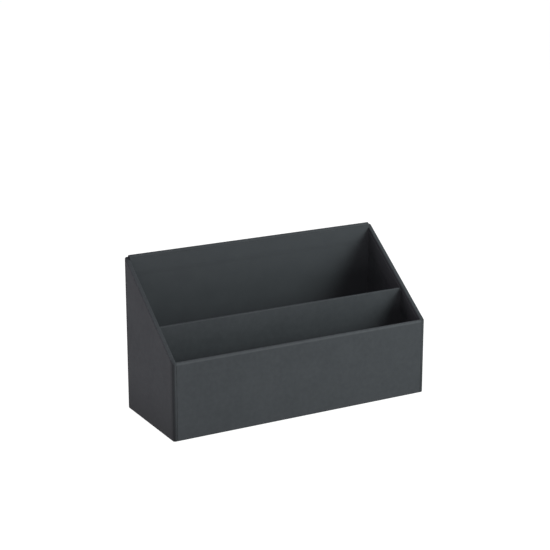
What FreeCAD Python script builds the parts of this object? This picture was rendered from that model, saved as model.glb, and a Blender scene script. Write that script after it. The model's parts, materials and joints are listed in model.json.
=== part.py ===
import FreeCAD, Part
import math
import os

from FreeCAD import Vector

# Envelope sorter of rigid board covered with paper, in millimetres.
# A high back, a low front, two sloping sides, a base and one divider make two open pockets.
# +X runs to the right, +Y to the back and +Z up. The origin is on the table, under the middle of the base.

# Overall size, over the covering paper
outer_width = 250.0
outer_depth = 94.0
front_height = 69.0
back_height = 139.5

# Board, paper and tape
wall_board = 3.5
base_board_thickness = 3.0
divider_board_thickness = 2.0
paper = 0.25
tape_thickness = 0.15

# Rounded edges, measured over the paper
corner_radius = 2.25
slope_edge_radius = 0.8
rim_radius = 1.75
inner_edge_radius = 0.8
foot_radius = 0.8
divider_rim_radius = 1.0

# How far the covering sheets are turned over the rims and under the base
turn_in_depth = 15.0
foot_turn = 15.0

# How far the linings and the underside sheet stop short, and how long a lining takes to climb a turn-in
lining_reveal = 3.0
lining_ramp = 4.0
base_cover_inset = 3.0

# Gummed tape in the inner corners
tape_leg = 12.0
tape_end_gap = 8.0

# How far the sides stay below a line from rim to rim, so that they start out of the front rim's rounding
slope_drop = 0.7

# Divider
front_pocket_depth = 29.0
divider_height = 91.0

# How close two places must be to count as one, and how far a cut runs past its piece
same_place = 0.0001
overrun = 5.0

# Outer faces of the walls, and inner faces of their bare boards
half_width = outer_width / 2
half_depth = outer_depth / 2
inner_x = half_width - paper - wall_board
inner_y = half_depth - paper - wall_board

# Levels of the foot, from the table up: underside sheet, turned-under covers, base board, floor lining
cover_foot = paper
board_foot = 2 * paper
base_top = board_foot + base_board_thickness
floor_top = base_top + paper

# No rounded edge takes more than its own board has to give
upright_radius = min(corner_radius, wall_board)
wall_rim_radius = min(rim_radius, wall_board / 2)
divider_edge_radius = min(divider_rim_radius, divider_board_thickness / 2)

# The two sides slope in one straight line, at the angle from the front rim to the back rim
slope_angle = math.atan2(back_height - front_height, outer_depth)
along_slope = Vector(0, math.cos(slope_angle), math.sin(slope_angle))
off_slope = Vector(0, -math.sin(slope_angle), math.cos(slope_angle))


def slope_height(y, below=0):
    """Height at the depth y of the sloping edge, or of a line that lies a distance below it."""
    below_line = (slope_drop + below) / math.cos(slope_angle)
    return front_height + (y + half_depth) * math.tan(slope_angle) - below_line


def block(x, y, z):
    """A box between two places on each axis."""
    low = Vector(min(x), min(y), min(z))
    return Part.makeBox(max(x) - low.x, max(y) - low.y, max(z) - low.z, low)


def prism(corners, path):
    """A flat outline of corner points, carried along a straight path."""
    return Part.Face(Part.makePolygon(corners + corners[:1])).extrude(path)


def across(x, outline):
    """An outline of (y, z) places, carried from one x to the other."""
    return prism([Vector(x[0], y, z) for y, z in outline], Vector(x[1] - x[0], 0, 0))


def upright(z, outline):
    """An outline of (x, y) places, carried from one height to the other."""
    return prism([Vector(x, y, z[0]) for x, y in outline], Vector(0, 0, z[1] - z[0]))


def mirrored(piece):
    """The same piece on the other side of the sorter."""
    return piece.mirror(Vector(0, 0, 0), Vector(1, 0, 0))


def near(value, place):
    return abs(value - place) < same_place


def lies_at(edge, **place):
    """Whether both ends of an edge are at the x, y or z that is given."""
    ends = [corner.Point for corner in edge.Vertexes]
    return all(near(getattr(end, axis), value) for end in ends for axis, value in place.items())


def lies_on_slope(edge, below):
    """Whether both ends of an edge are a distance below the sloping edge."""
    return all(near(corner.Z, slope_height(corner.Y, below)) for corner in edge.Vertexes)


# Walls
# Each wall is drawn twice, over its paper and again a sheet's thickness inside, as the bare board.
# The cover is what lies between the two.


def side_wall(inset):
    """The left side, rounded at its upright corners, along its slope and round its foot."""
    x_outer = -half_width + inset
    x_inner = -inner_x + paper - inset
    y_front = -half_depth + inset
    y_back = half_depth - inset
    z_foot = cover_foot + inset
    outline = [
        (y_front, z_foot),
        (y_back, z_foot),
        (y_back, slope_height(y_back, inset)),
        (y_front, slope_height(y_front, inset)),
    ]
    wall = across((x_outer, x_inner), outline)
    uprights = [edge for edge in wall.Edges
                if lies_at(edge, x=x_outer, y=y_front) or lies_at(edge, x=x_outer, y=y_back)]
    wall = wall.makeFillet(upright_radius - inset, uprights)
    foot = [edge for edge in wall.Edges if lies_at(edge, z=z_foot) and not lies_at(edge, x=x_inner)]
    wall = wall.makeFillet(foot_radius - inset, foot)
    outer_slope = [edge for edge in wall.Edges
                   if lies_on_slope(edge, inset) and not lies_at(edge, x=x_inner)]
    wall = wall.makeFillet(slope_edge_radius - inset, outer_slope)
    inner_slope = [edge for edge in wall.Edges if lies_on_slope(edge, inset) and lies_at(edge, x=x_inner)]
    return wall.makeFillet(inner_edge_radius - inset, inner_slope)


def cross_wall(inset, facing, height):
    """The front wall, facing -1, or the back wall, facing 1, between the two sides."""
    y_outer = facing * (half_depth - inset)
    y_inner = facing * (inner_y - paper + inset)
    z_foot = cover_foot + inset
    z_rim = height - inset
    wall = block((-inner_x, inner_x), (y_outer, y_inner), (z_foot, z_rim))
    rims = [edge for edge in wall.Edges
            if lies_at(edge, y=y_outer, z=z_rim) or lies_at(edge, y=y_inner, z=z_rim)]
    wall = wall.makeFillet(wall_rim_radius - inset, rims)
    foot = [edge for edge in wall.Edges if lies_at(edge, y=y_outer, z=z_foot)]
    return wall.makeFillet(foot_radius - inset, foot)


def divider_wall(inset):
    """The divider, standing on the floor lining, with a rounded top edge."""
    x_end = inner_x - 2 * paper - inset
    y_front = -inner_y + paper + front_pocket_depth + inset
    y_back = y_front + divider_board_thickness + 2 * (paper - inset)
    z_rim = divider_height - inset
    wall = block((-x_end, x_end), (y_front, y_back), (floor_top, z_rim))
    rims = [edge for edge in wall.Edges
            if lies_at(edge, y=y_front, z=z_rim) or lies_at(edge, y=y_back, z=z_rim)]
    return wall.makeFillet(divider_edge_radius - inset, rims)


# Boards


def base_board():
    """The board inside the foot of the four walls."""
    return block((-inner_x, inner_x), (-inner_y, inner_y), (board_foot, base_top))


def back_board():
    """The back board, cut in by a sheet's thickness where its ends stand clear above the sides."""
    board = cross_wall(paper, 1, back_height)
    y_near = inner_y - overrun
    y_far = half_depth + overrun
    clear_of_side = [
        (y_near, slope_height(y_near, slope_edge_radius)),
        (y_far, slope_height(y_far, slope_edge_radius)),
        (y_far, back_height + overrun),
        (y_near, back_height + overrun),
    ]
    notch = across((-inner_x - overrun, -inner_x + paper), clear_of_side)
    return board.cut(notch).cut(mirrored(notch))


def corner_tape(side, facing, top):
    """Tape pressed flush into an inner corner: side -1 is left and 1 right, facing -1 front and 1 back."""
    outline = [
        (inner_x + tape_thickness, inner_y + tape_thickness),
        (inner_x - tape_leg, inner_y + tape_thickness),
        (inner_x - tape_leg, inner_y),
        (inner_x, inner_y),
        (inner_x, inner_y - tape_leg),
        (inner_x + tape_thickness, inner_y - tape_leg),
    ]
    return upright((base_top, top), [(side * x, facing * y) for x, y in outline])


# Covers


def side_foot_strip():
    """What the left cover turns under the base, mitred against the front and back covers."""
    y_tangent = half_depth - foot_radius
    y_turned = half_depth - foot_turn
    outline = [
        (-inner_x, -y_tangent),
        (-inner_x + foot_radius, -y_tangent),
        (-inner_x + foot_turn, -y_turned),
        (-inner_x + foot_turn, y_turned),
        (-inner_x + foot_radius, y_tangent),
        (-inner_x, y_tangent),
    ]
    return upright((cover_foot, board_foot), outline)


def cross_foot_strip(facing):
    """What the front or back cover turns under the base, mitred against the side covers."""
    x_tangent = inner_x - foot_radius
    x_turned = inner_x - foot_turn
    y_tangent = facing * (half_depth - foot_radius)
    y_turned = facing * (half_depth - foot_turn)
    outline = [(-x_tangent, y_tangent), (x_tangent, y_tangent), (x_turned, y_turned), (-x_turned, y_turned)]
    return upright((cover_foot, board_foot), outline)


def side_cover():
    """The left cover: one sheet round the corners, over the slope, down inside and under the base."""
    y_turned = inner_y - paper
    not_turned_in = [
        (-half_depth - overrun, -overrun),
        (half_depth + overrun, -overrun),
        (half_depth + overrun, back_height + overrun),
        (y_turned, back_height + overrun),
        (y_turned, slope_height(y_turned, turn_in_depth)),
        (-y_turned, slope_height(-y_turned, turn_in_depth)),
        (-y_turned, front_height),
        (-half_depth - overrun, front_height),
    ]
    sheet = side_wall(0).cut(side_wall(paper))
    sheet = sheet.cut(across((-inner_x, -inner_x + overrun), not_turned_in))
    return sheet.fuse(side_foot_strip())


def cross_cover(facing, height, board):
    """The front or back cover: one sheet from side to side, over the rim, down inside and under the base."""
    x_past = (-half_width, half_width)
    y_inside = facing * (inner_y - overrun)
    y_tangent = facing * (half_depth - foot_radius)
    sheet = cross_wall(0, facing, height).cut(board)
    sheet = sheet.cut(block(x_past, (facing * inner_y, y_inside), (-overrun, height - turn_in_depth)))
    sheet = sheet.cut(block(x_past, (y_tangent, y_inside), (-overrun, board_foot)))
    return sheet.fuse(cross_foot_strip(facing))


def base_infill():
    """Waste sheet that levels the underside between the turned-under covers."""
    x_end = inner_x - foot_turn
    y_end = half_depth - foot_turn
    return block((-x_end, x_end), (-y_end, y_end), (cover_foot, board_foot))


def base_cover():
    """The underside sheet that the sorter stands on."""
    x_end = half_width - base_cover_inset
    y_end = half_depth - base_cover_inset
    return block((-x_end, x_end), (-y_end, y_end), (0, cover_foot))


# Linings
# A lining lies on the bare board and climbs over the turned-in cover. It stops short of the rim.


def cross_lining(facing, height):
    """The lining of the front or back wall."""
    x_raised = inner_x - paper
    y_board = facing * inner_y
    y_sheet = facing * (inner_y - paper)
    y_raised = facing * (inner_y - 2 * paper)
    z_turned = height - turn_in_depth
    z_top = height - lining_reveal
    raised = [(y_sheet, z_turned - lining_ramp), (y_raised, z_turned), (y_raised, z_top), (y_sheet, z_top)]
    sheet = block((-inner_x, inner_x), (y_board, y_sheet), (base_top, z_turned))
    return sheet.fuse(across((-x_raised, x_raised), raised))


def side_lining():
    """The lining of the left side, whose raised band follows the slope."""
    y_sheet = inner_y - paper
    y_raised = inner_y - 2 * paper
    flat = [
        (-y_sheet, base_top),
        (y_sheet, base_top),
        (y_sheet, slope_height(y_sheet, turn_in_depth)),
        (-y_sheet, slope_height(-y_sheet, turn_in_depth)),
    ]
    sheet = across((-inner_x, -inner_x + paper), flat)
    section = [
        (-inner_x + paper, turn_in_depth + lining_ramp),
        (-inner_x + 2 * paper, turn_in_depth),
        (-inner_x + 2 * paper, lining_reveal),
        (-inner_x + paper, lining_reveal),
    ]
    corners = [Vector(x, -outer_depth, slope_height(-outer_depth)) - off_slope * below for x, below in section]
    band = prism(corners, along_slope * (2 * outer_depth / math.cos(slope_angle)))
    between = block((-half_width, 0), (-y_raised, y_raised), (base_top, back_height))
    return sheet.fuse(band.common(between))


def floor_lining():
    """The lining of the base, between the wall linings."""
    x_end = inner_x - paper
    y_end = inner_y - paper
    return block((-x_end, x_end), (-y_end, y_end), (base_top, floor_top))


def one_solid(piece):
    """The single solid that a piece has to be, with faces in one plane joined."""
    solid, = piece.removeSplitter().Solids
    return solid


def make_pieces():
    """Every piece of the sorter, by name."""
    front_tape_top = front_height - tape_end_gap
    back_tape_top = slope_height(inner_y - tape_leg) - tape_end_gap
    front_left_tape = corner_tape(-1, -1, front_tape_top)
    front_right_tape = corner_tape(1, -1, front_tape_top)
    back_left_tape = corner_tape(-1, 1, back_tape_top)
    back_right_tape = corner_tape(1, 1, back_tape_top)

    left_board = side_wall(paper)
    right_board = mirrored(left_board)
    front = cross_wall(paper, -1, front_height)
    back = back_board()
    left_cover = side_cover()
    left_lining = side_lining()

    return {
        "base_board": base_board(),
        "left_side_board": left_board.cut(front_left_tape).cut(back_left_tape),
        "right_side_board": right_board.cut(front_right_tape).cut(back_right_tape),
        "front_board": front.cut(front_left_tape).cut(front_right_tape),
        "back_board": back.cut(back_left_tape).cut(back_right_tape),
        "divider_board": divider_wall(paper),
        "front_left_corner_tape": front_left_tape,
        "front_right_corner_tape": front_right_tape,
        "back_left_corner_tape": back_left_tape,
        "back_right_corner_tape": back_right_tape,
        "left_side_cover": left_cover,
        "right_side_cover": mirrored(left_cover),
        "front_cover": cross_cover(-1, front_height, front),
        "back_cover": cross_cover(1, back_height, back),
        "base_infill": base_infill(),
        "base_cover": base_cover(),
        "divider_cover": divider_wall(0).cut(divider_wall(paper)),
        "front_lining": cross_lining(-1, front_height),
        "back_lining": cross_lining(1, back_height),
        "left_side_lining": left_lining,
        "right_side_lining": mirrored(left_lining),
        "floor_lining": floor_lining(),
    }


os.makedirs("parts", exist_ok=True)
for name, piece in make_pieces().items():
    one_solid(piece).exportStep(f"parts/{name}.step")
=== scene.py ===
# %% [markdown]
# # A desktop sorter of paper-covered board
# The real object is a stiff board box with no lid: a high back, a low front, two sides whose top edge
# slopes in one straight line, and one divider. Every board is wrapped in charcoal paper with a fine
# linen grain, and the inside is lined with the same kind of paper.
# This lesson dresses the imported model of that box: it loads the pieces, sets up the camera and the
# soft studio light, and then gives each piece its own paper, board or tape.

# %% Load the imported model
import json
import math

import bmesh
import bpy
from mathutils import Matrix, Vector


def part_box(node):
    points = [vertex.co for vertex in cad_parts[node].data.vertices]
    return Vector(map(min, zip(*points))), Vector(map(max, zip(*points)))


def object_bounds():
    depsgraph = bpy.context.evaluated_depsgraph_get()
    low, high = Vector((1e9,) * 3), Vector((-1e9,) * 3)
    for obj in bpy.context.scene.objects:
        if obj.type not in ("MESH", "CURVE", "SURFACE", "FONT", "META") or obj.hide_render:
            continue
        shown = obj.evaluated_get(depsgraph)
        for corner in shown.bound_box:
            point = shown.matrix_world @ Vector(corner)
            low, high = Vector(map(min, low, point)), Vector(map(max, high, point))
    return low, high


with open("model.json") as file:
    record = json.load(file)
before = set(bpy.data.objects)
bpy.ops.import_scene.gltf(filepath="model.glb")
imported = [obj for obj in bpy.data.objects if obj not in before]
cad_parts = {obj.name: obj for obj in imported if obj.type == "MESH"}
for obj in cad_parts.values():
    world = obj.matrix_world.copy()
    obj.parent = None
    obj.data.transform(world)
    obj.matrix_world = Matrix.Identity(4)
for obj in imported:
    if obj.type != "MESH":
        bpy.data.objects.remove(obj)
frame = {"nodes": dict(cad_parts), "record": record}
cad_low, cad_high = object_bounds()
nodes = frame["nodes"]
millimetre = 0.001
print(len(nodes), "pieces; size in mm", [round(side / millimetre, 2) for side in cad_high - cad_low])

# %% [markdown]
# ## The camera
# A product photograph is taken from far away with a long lens, so that straight edges stay nearly
# parallel. The camera could be placed by eye, but here it is worked out the way a photographer would
# say it: an angle to the left of the front, an angle above the table, a distance, and how far the lens
# looks past the middle of the base.

# %% Place the camera
view_azimuth = math.radians(-29.06)
view_elevation = math.radians(15.88)
view_distance = 1369.3 * millimetre
aim_right = -2.26 * millimetre
aim_up = 111.74 * millimetre
lens_length, film_width = 100, 36

towards_camera = Vector((
    math.sin(view_azimuth) * math.cos(view_elevation),
    -math.cos(view_azimuth) * math.cos(view_elevation),
    math.sin(view_elevation),
))
picture_right = Vector((math.cos(view_azimuth), math.sin(view_azimuth), 0))
picture_up = towards_camera.cross(picture_right)

camera_data = bpy.data.cameras.new("studio_camera")
camera_data.lens = lens_length
camera_data.sensor_width = film_width
camera = bpy.data.objects.new("studio_camera", camera_data)
camera.location = picture_right * aim_right + picture_up * aim_up + towards_camera * view_distance
camera.rotation_mode = "QUATERNION"
camera.rotation_quaternion = (-towards_camera).to_track_quat("-Z", "Y")
scene = bpy.context.scene
scene.collection.objects.link(camera)
scene.camera = camera
scene.view_settings.view_transform = "Standard"
print("camera at", [round(place, 3) for place in camera.location])

# %% [markdown]
# ## Shader maths that reads like arithmetic
# A finish such as linen-grained paper is a formula: waves for the threads, noise for their
# unevenness, masks for the rubbed edges. Written as single nodes such a formula is hard to read. So
# a small class wraps a node's output, and plus, minus and times add the Math nodes. A second class is
# the finish itself. It has the one method that adds any other node.

# %% A number that changes over a surface
class Amount:
    """The output of a shader node. Arithmetic on it adds Math nodes to its finish."""

    def __init__(self, finish, socket):
        self.finish = finish
        self.socket = socket

    def math(self, operation, *others):
        return self.finish.maths(operation, self, *others)

    def __add__(self, other):
        return self.math("ADD", other)

    __radd__ = __add__

    def __sub__(self, other):
        return self.math("SUBTRACT", other)

    def __rsub__(self, other):
        return self.finish.maths("SUBTRACT", other, self)

    def __mul__(self, other):
        return self.math("MULTIPLY", other)

    __rmul__ = __mul__

    def __abs__(self):
        return self.math("ABSOLUTE")

    def cosine(self):
        return self.math("COSINE")

    def larger(self, other):
        return self.math("MAXIMUM", other)

    def rising(self, low, high):
        """0 below low and 1 above high, with a smooth rise between them."""
        settings = {"interpolation_type": "SMOOTHSTEP"}
        sockets = {"Value": self, "From Min": low, "From Max": high}
        return self.finish.node("ShaderNodeMapRange", settings, sockets)


# %% A finish and its nodes
finishes = {}


class Finish:
    """A material, kept under its name, and the one way that this lesson adds nodes to it."""

    def __init__(self, name):
        self.material = bpy.data.materials.new(name)
        self.material.use_nodes = True
        self.tree = self.material.node_tree
        self.tree.nodes.clear()
        finishes[name] = self.material

    def node(self, kind, settings=None, sockets=None, output=0):
        """Adds a node. Settings come first, because they decide which sockets it has."""
        made = self.tree.nodes.new(kind)
        for setting, value in (settings or {}).items():
            setattr(made, setting, value)
        live = [socket for socket in made.inputs if socket.enabled]
        for name, value in (sockets or {}).items():
            socket = live[name] if isinstance(name, int) else next(s for s in live if s.name == name)
            if isinstance(value, Amount):
                self.tree.links.new(value.socket, socket)
            else:
                socket.default_value = value
        shown = [socket for socket in made.outputs if socket.enabled]
        if isinstance(output, str):
            shown = [socket for socket in shown if socket.name == output]
        return Amount(self, shown[0]) if shown else None

    def maths(self, operation, *values):
        return self.node("ShaderNodeMath", {"operation": operation}, dict(enumerate(values)))

    def places(self):
        """Where a point is on the object, in metres."""
        return self.node("ShaderNodeTexCoord", output="Object")

    def facing(self):
        """Which way the surface looks."""
        return self.node("ShaderNodeTexCoord", output="Normal")

    def parts(self, vector):
        """The x, y and z of a vector."""
        split = self.node("ShaderNodeSeparateXYZ", sockets={"Vector": vector}).socket.node
        return [Amount(self, socket) for socket in split.outputs]

    def stretched(self, vector, factors):
        """A vector with each part times its own factor."""
        return self.node("ShaderNodeVectorMath", {"operation": "MULTIPLY"}, {0: vector, 1: factors})

    def noise(self, vector, size, detail=3.0, roughness=0.5):
        """Cloudy noise between 0 and 1, whose blotches are about the given size in metres."""
        sockets = {"Vector": vector, "Scale": 1 / size, "Detail": detail, "Roughness": roughness}
        return self.node("ShaderNodeTexNoise", {"noise_dimensions": "3D"}, sockets)

    def blend(self, share, first, second):
        """A colour between two colours."""
        sockets = {"Factor": share, "A": first, "B": second}
        return self.node("ShaderNodeMix", {"data_type": "RGBA"}, sockets)

    def complete(self, colour, roughness, height, depth, specular, glow=0.0):
        """Joins colour, roughness, relief with its depth in metres, and glow into one surface."""
        relief = self.node("ShaderNodeBump", sockets={"Height": height, "Distance": depth})
        surface = self.node("ShaderNodeBsdfPrincipled", sockets={
            "Base Color": colour,
            "Roughness": roughness,
            "Normal": relief,
            "Specular IOR Level": specular,
            "Emission Color": (1, 1, 1, 1),
            "Emission Strength": glow,
        })
        self.node("ShaderNodeOutputMaterial", sockets={"Surface": surface})
        print(self.material.name, "made of", len(self.tree.nodes), "shader nodes")


# %% [markdown]
# ## Colours
# Colours are picked from a screen, where they are numbers from 0 to 255. A shader counts in amounts of
# light, which grow much faster than those numbers do, so each colour is turned into light first.

# %% From screen colours to light
def linear(red, green, blue):
    """A colour as a screen shows it, from 0 to 255, as the light that a shader works with."""
    shares = [part / 255 for part in (red, green, blue)]
    lights = [s / 12.92 if s <= 0.04045 else ((s + 0.055) / 1.055) ** 2.4 for s in shares]
    return (*lights, 1.0)


print("a grey of 60 on a screen is a share of", round(linear(60, 60, 60)[0], 3), "of the light")


# %% [markdown]
# ## The grain of the covering paper
# The covering paper is embossed with a fine linen pattern, so that it looks like book cloth: two sets
# of threads about half a millimetre apart, none of them quite straight or even. An image of cloth
# would need unwrapping and would repeat. Cosine waves along x, y and z need neither: on every flat
# face two of the three waves cross, and they run round the corners without a seam.

# %% Threads of the emboss
thread_pitch = 0.62 * millimetre
thread_wander = 0.22 * millimetre
thread_length = 7 * millimetre
wander_length = 11 * millimetre
print("threads in a centimetre", round(10 * millimetre / thread_pitch, 1))


def linen_grain(finish, place):
    """Relief between about 0 and 1 of two crossing sets of uneven threads."""
    turns = 2 * math.pi / thread_pitch
    wander = (finish.noise(place, wander_length, detail=2.0) - 0.5) * (2 * thread_wander)
    x, y, z = finish.parts(place)
    upright = ((x + wander) * turns).cosine() + ((y - wander) * turns).cosine()
    level = ((z + wander) * turns).cosine()
    shorten = thread_pitch / thread_length
    along_upright = finish.stretched(place, (1, 1, shorten))
    along_level = finish.stretched(place, (shorten, shorten, 1))
    upright_strength = finish.noise(along_upright, thread_pitch, detail=1.0)
    level_strength = finish.noise(along_level, thread_pitch, detail=1.0)
    return 0.5 + 0.28 * (upright * upright_strength + level * level_strength)


# %% [markdown]
# ## Where the paper is worn, and where light and shade are painted on it
# Handling polishes paper where it is bent over a rim or a slope, which grows slightly paler. Such a
# bend is where the surface looks partly up, but neither straight up nor square to the slope. So one
# mask compares the surface's direction with those two, and no edge has to be picked. Such a comparison
# gives 1 where two directions agree, as on a flat face, and less the further the paper is bent.
# The other masks go by place, and they paint light and shade into the colour. The top few
# millimetres of the front rim get a painted highlight. The outside gets painted shade that grows
# darker towards the table, and a narrow strip round each upright corner gets painted shade too.

# %% Masks from the direction and place of the surface
front_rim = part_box("front_cover")[1].z
back_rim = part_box("back_cover")[1].z
slope_angle = math.atan2(back_rim - front_rim, cad_high.y - cad_low.y)
slope_direction = (0, -math.sin(slope_angle), math.cos(slope_angle))
flat, well_bent = 0.995, 0.72
partly_up = 0.3
# The depth sets the painted highlight on the front rim, the height the painted shade at the foot.
rim_highlight_depth = 2.6 * millimetre
foot_shade_height = 50 * millimetre
# The two strips set the width of the painted shade round the upright corners.
strip_on_front = 3 * millimetre
strip_on_side = 5.5 * millimetre
print("slope of the sides in degrees", round(math.degrees(slope_angle), 2))


def bent_over(finish):
    """1 where the paper is bent over a rim or a slope and 0 elsewhere."""
    direction = finish.facing()
    _, _, up = finish.parts(direction)
    on_slope = finish.node("ShaderNodeVectorMath", {"operation": "DOT_PRODUCT"},
                           {0: direction, 1: slope_direction}, output="Value")
    return up.rising(0, partly_up) * (1 - up.larger(on_slope).rising(well_bent, flat))


def corner_shade_mask(finish, place):
    """Painted shade: 1 along the upright corners and 0 from a few millimetres beside them."""
    x, y, _ = finish.parts(place)
    on_front = abs(x).rising(cad_high.x - strip_on_front, cad_high.x - 0.5 * strip_on_front)
    on_side = abs(y).rising(cad_high.y - strip_on_side, cad_high.y - 0.6 * strip_on_side)
    return on_front * on_side


def rim_highlight_mask(finish, place):
    """Painted highlight: 1 along the rim of the front and 0 from a few millimetres below it."""
    _, _, z = finish.parts(place)
    return z.rising(front_rim - rim_highlight_depth, front_rim - 0.5 * rim_highlight_depth)


def foot_shade_mask(finish, place):
    """Painted shade: 1 at the table and 0 from some way above it."""
    _, _, z = finish.parts(place)
    return 1 - z.rising(-0.5 * foot_shade_height, foot_shade_height)


# %% [markdown]
# ## The seams of the covers
# The covers of the front and back end at the corners, where they meet the sheets of the sides. On the
# real box that is a hairline that only shows up close. The pieces touch face to face, so the line is
# drawn in their finish, as a shallow groove that is a little darker than the paper.

# %% A groove along each seam
seam_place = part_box("front_cover")[1].x
seam_width = 0.16 * millimetre
print("seams at", round(seam_place / millimetre, 2), "mm on both sides of the middle")


def seam_groove(finish, place):
    """1 along the seams beside the upright corners and 0 elsewhere."""
    x, _, _ = finish.parts(place)
    return 1 - abs(abs(x) - seam_place).rising(0.3 * seam_width, seam_width)


# %% [markdown]
# ## The covering paper
# One recipe makes the covers of the box and of the divider: the linen grain for relief, two sizes of
# cloudy noise for the way such paper takes colour, a paler tone on thread tops where the paper is
# worn over rims and slopes, painted shade round the upright corners, and a roughness that drops a
# little where hands have polished it. The tone adds up the noises and the grain, and what it takes
# away again brings its middle back to about a half. Two shares say how much painted highlight the
# front rim gets and how much painted shade darkens the foot: the sides have the darkest foot, and the
# front has the highlight on its rim.

# %% Charcoal covering paper
paper_shadow = linear(53, 55, 58)
paper_light = linear(63, 65, 68)
# The next colour is both the paleness of worn edges and the painted rim highlight; the one after it is
# painted shade.
wear_and_highlight_colour = linear(86, 88, 91)
painted_shade_colour = linear(34, 35, 37)
cover_cloud = 26 * millimetre
cover_fleck = 4 * millimetre
cover_fibre = 0.25 * millimetre
cover_relief = 0.05 * millimetre
dull_sheen = 0.08


def covering_paper(name, rim_highlight_share=0.0, foot_shade_share=0.0):
    """Charcoal paper with a linen grain, with shares of painted rim highlight and painted foot shade."""
    finish = Finish(name)
    place = finish.places()
    grain = linen_grain(finish, place)
    fibres = finish.noise(place, cover_fibre, detail=2.0)
    clouds = finish.noise(place, cover_cloud, detail=4.0)
    flecks = finish.noise(place, cover_fleck, detail=3.0)
    seam = seam_groove(finish, place)
    bent = bent_over(finish)
    tone = 0.5 * clouds + 0.8 * flecks + 0.35 * grain - 0.375
    colour = finish.blend(tone, paper_shadow, paper_light)
    # Painted shade in a narrow strip round the upright corners.
    painted_corner_shade = corner_shade_mask(finish, place) * (0.25 + 0.25 * flecks)
    # Painted highlight along the top few millimetres of the front rim.
    painted_rim_highlight = rim_highlight_mask(finish, place) * (0.7 + 0.6 * flecks) * rim_highlight_share
    # Painted shade that darkens the cover towards the table.
    painted_foot_shade = foot_shade_mask(finish, place) * (0.7 + 0.6 * clouds) * foot_shade_share
    colour = finish.blend(bent * grain * 0.1, colour, wear_and_highlight_colour)
    colour = finish.blend(painted_corner_shade, colour, painted_shade_colour)
    colour = finish.blend(painted_rim_highlight, colour, wear_and_highlight_colour)
    colour = finish.blend(painted_foot_shade, colour, painted_shade_colour)
    colour = finish.blend(seam * 0.5, colour, paper_shadow)
    roughness = 0.74 - 0.08 * clouds - 0.08 * bent
    height = grain + 0.25 * fibres - 1.5 * seam
    finish.complete(colour, roughness, height, cover_relief, specular=dull_sheen)


covering_paper("charcoal_cover_paper")
# The sides and the front get painted shade at the foot; the front also gets a painted highlight on its
# rim.
covering_paper("charcoal_side_paper", foot_shade_share=0.78)
covering_paper("charcoal_front_paper", rim_highlight_share=0.32, foot_shade_share=0.12)


# %% [markdown]
# ## The lining paper
# The lining is the same stock, pressed smoother by the gluing. Its cut edge shows three millimetres
# below each rim as a thin, slightly paler line, because a cut goes through the dyed skin. That edge
# could be picked by hand on every sheet. But on the sheets of the walls nothing else looks up, so the
# recipe asks which way the surface looks. The floor lining looks up as a whole and leaves it out.

# %% Charcoal lining paper
cut_edge_colour = linear(92, 94, 96)
looks_level, looks_up = 0.55, 0.75
lining_cloud = 19 * millimetre
lining_fibre = 0.3 * millimetre
lining_relief = 0.04 * millimetre


def lining_paper(name, cut_edges):
    """Smoother charcoal paper for the inside. cut_edges pales the faces that look up."""
    finish = Finish(name)
    place = finish.places()
    grain = linen_grain(finish, place)
    fibres = finish.noise(place, lining_fibre, detail=3.0)
    clouds = finish.noise(place, lining_cloud, detail=4.0)
    tone = 0.6 * clouds + 0.2 * grain + 0.2 * fibres
    colour = finish.blend(tone, paper_shadow, paper_light)
    if cut_edges:
        _, _, up = finish.parts(finish.facing())
        cut = up.rising(looks_level, looks_up) * (0.4 + 0.4 * fibres)
        colour = finish.blend(cut, colour, cut_edge_colour)
    roughness = 0.78 - 0.1 * clouds
    height = 0.6 * grain + 0.3 * fibres
    finish.complete(colour, roughness, height, lining_relief, specular=dull_sheen)


lining_paper("charcoal_lining_paper", cut_edges=True)
lining_paper("charcoal_floor_paper", cut_edges=False)


# %% [markdown]
# ## The underside sheet and the hidden stuff
# What nobody sees is made of cheaper stuff: a smooth dark sheet below, grey board made of pulped
# waste paper with flecks of every colour, brown kraft tape with long fibres, and off-white waste
# sheet. Each gets its own recipe, because the model can be taken apart.

# %% Underside sheet
base_cloud = 30 * millimetre
base_streak = 0.8 * millimetre
base_fibre = 0.3 * millimetre
base_relief = 0.02 * millimetre


def base_paper(name):
    """Smooth dark paper, scuffed by the table in fine streaks."""
    finish = Finish(name)
    place = finish.places()
    clouds = finish.noise(place, base_cloud, detail=4.0)
    streaks = finish.noise(finish.stretched(place, (0.06, 1, 1)), base_streak, detail=3.0)
    fibres = finish.noise(place, base_fibre, detail=3.0)
    colour = finish.blend(0.5 * clouds + 0.3 * fibres, paper_shadow, paper_light)
    colour = finish.blend(streaks.rising(0.62, 0.75) * 0.35, colour, wear_and_highlight_colour)
    roughness = 0.7 - 0.15 * streaks
    height = fibres + 0.4 * streaks
    finish.complete(colour, roughness, height, base_relief, specular=0.2)


base_paper("charcoal_base_paper")


# %% Grey board
board_colour = linear(158, 150, 138)
board_pulp = linear(120, 114, 106)
board_fleck = linear(60, 66, 84)
board_cloud = 14 * millimetre
board_fibre = 1.1 * millimetre
board_speck = 0.9 * millimetre
board_relief = 0.08 * millimetre


def grey_board(name):
    """Pulp board: matted fibres lying flat, with dark and coloured flecks."""
    finish = Finish(name)
    place = finish.places()
    lying = finish.stretched(place, (0.35, 1, 0.5))
    matted = finish.noise(lying, board_fibre, detail=5.0, roughness=0.65)
    clouds = finish.noise(place, board_cloud, detail=3.0)
    specks = finish.noise(place, board_speck, detail=1.0)
    colour = finish.blend(0.6 * matted + 0.4 * clouds, board_pulp, board_colour)
    colour = finish.blend(specks.rising(0.68, 0.76) * 0.7, colour, board_fleck)
    finish.complete(colour, 0.92 - 0.1 * matted, matted, board_relief, specular=0.2)


grey_board("greyboard")


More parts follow.
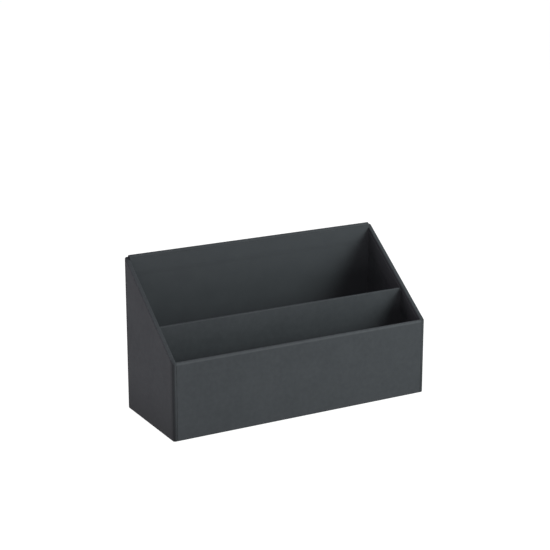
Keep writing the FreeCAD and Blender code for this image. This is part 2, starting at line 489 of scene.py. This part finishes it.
# %% Kraft tape
kraft_colour = linear(176, 136, 92)
kraft_fibre = linear(132, 96, 60)
tape_cloud = 8 * millimetre
tape_fibre = 0.5 * millimetre
tape_relief = 0.03 * millimetre


def kraft_tape(name):
    """Gummed brown paper, with long fibres running up the corner."""
    finish = Finish(name)
    place = finish.places()
    upright = finish.stretched(place, (1, 1, 0.08))
    fibres = finish.noise(upright, tape_fibre, detail=4.0, roughness=0.6)
    clouds = finish.noise(place, tape_cloud, detail=3.0)
    colour = finish.blend(0.7 * fibres + 0.3 * clouds, kraft_fibre, kraft_colour)
    finish.complete(colour, 0.6 - 0.15 * clouds, fibres, tape_relief, specular=0.4)


kraft_tape("kraft_tape")


# %% Waste sheet under the base
waste_colour = linear(206, 200, 186)
waste_stain = linear(172, 160, 140)
stain_size = 22 * millimetre
waste_fibre = 0.4 * millimetre
waste_relief = 0.03 * millimetre


def waste_sheet(name):
    """Off-white waste paper that took up glue unevenly."""
    finish = Finish(name)
    place = finish.places()
    stains = finish.noise(place, stain_size, detail=5.0, roughness=0.6)
    fibres = finish.noise(place, waste_fibre, detail=4.0)
    colour = finish.blend(stains.rising(0.45, 0.7), waste_colour, waste_stain)
    colour = finish.blend(0.3 * fibres, colour, waste_stain)
    finish.complete(colour, 0.85 - 0.2 * stains, fibres, waste_relief, specular=0.3)


waste_sheet("infill_paper")


# %% [markdown]
# ## Dress the pieces
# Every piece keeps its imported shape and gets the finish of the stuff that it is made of. That could be
# written out piece by piece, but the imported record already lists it. Four pieces then get a finish of
# their own: the floor lining, the front, and the two sides.

# %% Give each piece its finish
slots = {piece["node"]: piece["material_slot"] for piece in frame["record"]["subparts"]}
slots["floor_lining"] = "charcoal_floor_paper"
slots["front_cover"] = "charcoal_front_paper"
slots["left_side_cover"] = "charcoal_side_paper"
slots["right_side_cover"] = "charcoal_side_paper"

for name, piece in nodes.items():
    piece.data.materials.clear()
    piece.data.materials.append(finishes[slots[name]])
print({finish: sum(slot == finish for slot in slots.values()) for finish in finishes})

# %% [markdown]
# ## Floor and light
# The box stands on a white table that is lit brightly enough to show no edge and no shadow. In a
# studio such a table is a sheet of milky glass with lamps below it. A white floor under strong lamps
# could show the same, but it would throw too much light on the dark paper. So this floor glows by
# itself, and its own colour is dull enough that the lamps change little. It lies a hair below the
# box, because two faces in one plane flicker where they meet.
# Two large soft lights stand to the right of the front and behind the left side. Neither faces the
# corner between them, so that corner stays the darkest part of the outside. A weak third light hangs
# above the front, picks out the rims and reaches down into the pockets. Faint light from all round, as
# white walls throw it back, keeps the insides from going black.

# %% Floor
floor_half = 20.0
floor_gap = 0.05 * millimetre
floor_shadow = linear(94, 94, 94)
floor_light = linear(99, 99, 99)
floor_cloud = 400 * millimetre
floor_relief = 0.01 * millimetre
floor_mesh = bpy.data.meshes.new("floor")
sheet = bmesh.new()
bmesh.ops.create_grid(sheet, x_segments=1, y_segments=1, size=floor_half)
bmesh.ops.translate(sheet, verts=sheet.verts, vec=(0, 0, cad_low.z - floor_gap))
sheet.to_mesh(floor_mesh)
sheet.free()
floor = bpy.data.objects.new("floor", floor_mesh)
scene.collection.objects.link(floor)

floor_finish = Finish("pale_floor")
floor_clouds = floor_finish.noise(floor_finish.places(), floor_cloud, detail=2.0)
floor_colour = floor_finish.blend(floor_clouds, floor_shadow, floor_light)
floor_finish.complete(floor_colour, 0.9, floor_clouds, floor_relief, specular=0.05, glow=1.0)
floor_mesh.materials.append(floor_finish.material)
print("floor", 2 * floor_half, "m square,", floor_gap / millimetre, "mm below the box")

# %% A soft light
light_distance = 1.5
light_size = 0.9


def soft_light(name, azimuth, elevation, power, tint):
    """A square soft light that faces the box, at an angle from the front and one above the table."""
    around, above = math.radians(azimuth), math.radians(elevation)
    from_box = Vector((
        math.sin(around) * math.cos(above),
        -math.cos(around) * math.cos(above),
        math.sin(above),
    ))
    data = bpy.data.lights.new(name, "AREA")
    data.shape = "SQUARE"
    data.size = light_size
    data.energy = power
    data.color = tint
    light = bpy.data.objects.new(name, data)
    light.location = from_box * light_distance
    light.rotation_mode = "QUATERNION"
    light.rotation_quaternion = (-from_box).to_track_quat("-Z", "Y")
    scene.collection.objects.link(light)
    print(name, power, "W at", [round(place, 2) for place in light.location])


# %% Place the lights
soft_light("right_front_light", azimuth=56, elevation=22, power=29, tint=(0.9, 1.0, 0.97))
soft_light("left_back_light", azimuth=-128, elevation=38, power=9.5, tint=(1.08, 0.96, 1.04))
soft_light("top_light", azimuth=-35, elevation=62, power=6.5, tint=(1.05, 1.0, 1.05))

# %% Light from all round
room_light = 0.08
studio = bpy.data.worlds.new("studio")
studio.use_nodes = True
background = studio.node_tree.nodes["Background"]
background.inputs["Color"].default_value = (1, 1, 1, 1)
background.inputs["Strength"].default_value = room_light
scene.world = studio
print("light from all round", room_light)
